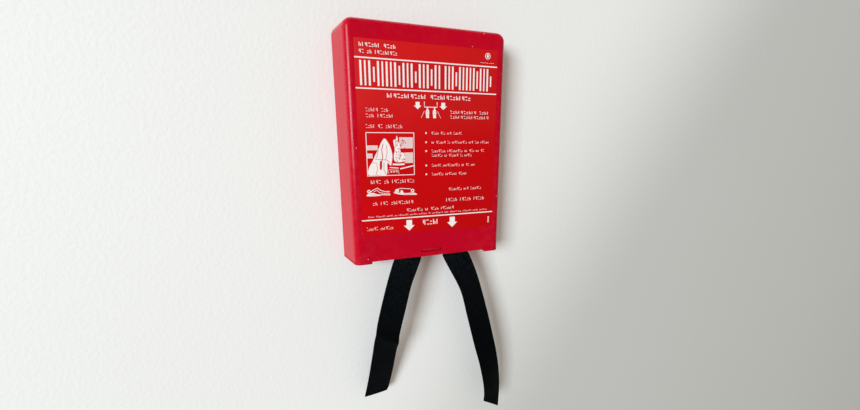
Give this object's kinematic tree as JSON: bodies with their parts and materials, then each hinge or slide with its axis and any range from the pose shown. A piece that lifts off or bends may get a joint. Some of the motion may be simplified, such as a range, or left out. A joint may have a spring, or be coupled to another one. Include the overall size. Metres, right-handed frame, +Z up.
{
  "type": "fire blanket",
  "caption": "Wall-hung fire blanket folded in a slim rigid red case, pulled out of the bottom by two black webbing tapes.",
  "frame": {"origin": "midway between the centres of the two keyholes' round ends, on the case's flat back face, where it meets the wall", "axes": "+Z up, +Y into the wall (the back face's outward normal), +X along the wall to the right as seen from the front; the front faces -Y"},
  "size_m": [0.1948, 0.0387, 0.4764],
  "materials": {
    "case_plastic": "fine-textured red polypropylene with a soft gloss",
    "plate_plastic": "matt red polypropylene",
    "label_film": "orange-red printed film with white print",
    "glass_cloth": "off-white woven glass cloth",
    "webbing": "black woven webbing",
    "thread": "grey sewing thread"
  },
  "bodies": {
    "case": {"front_shell": "case_plastic", "back_plate": "plate_plastic", "front_label": "label_film"},
    "cap": {"bottom_cap": "case_plastic"},
    "blanket": {"blanket": "glass_cloth", "tape_tail_left": "webbing", "tape_tail_right": "webbing", "tape_stitching_left": "thread", "tape_stitching_right": "thread"},
    "tape_left": {"pull_tape_left": "webbing"},
    "tape_right": {"pull_tape_right": "webbing"}
  },
  "joints": [
    {"name": "blanket_pull", "type": "slide", "parent": "case", "child": "blanket", "axis": [0, 0, -1], "range_m": [0, 0.2]},
    {"name": "cap_drop", "type": "slide", "parent": "case", "child": "cap", "axis": [0, 0, -1], "range_m": [0, 0.2]},
    {"name": "left_tape_lift", "type": "hinge", "parent": "blanket", "child": "tape_left", "pos_m": [-0.027, -0.0317, -0.2234], "axis": [-1, 0, 0], "range_deg": [0, 75]},
    {"name": "right_tape_lift", "type": "hinge", "parent": "blanket", "child": "tape_right", "pos_m": [0.031, -0.0317, -0.2234], "axis": [-1, 0, 0], "range_deg": [0, 75]}
  ],
  "couplings": [
    {"joint": "cap_drop", "follows": "blanket_pull", "ratio": 1}
  ]
}
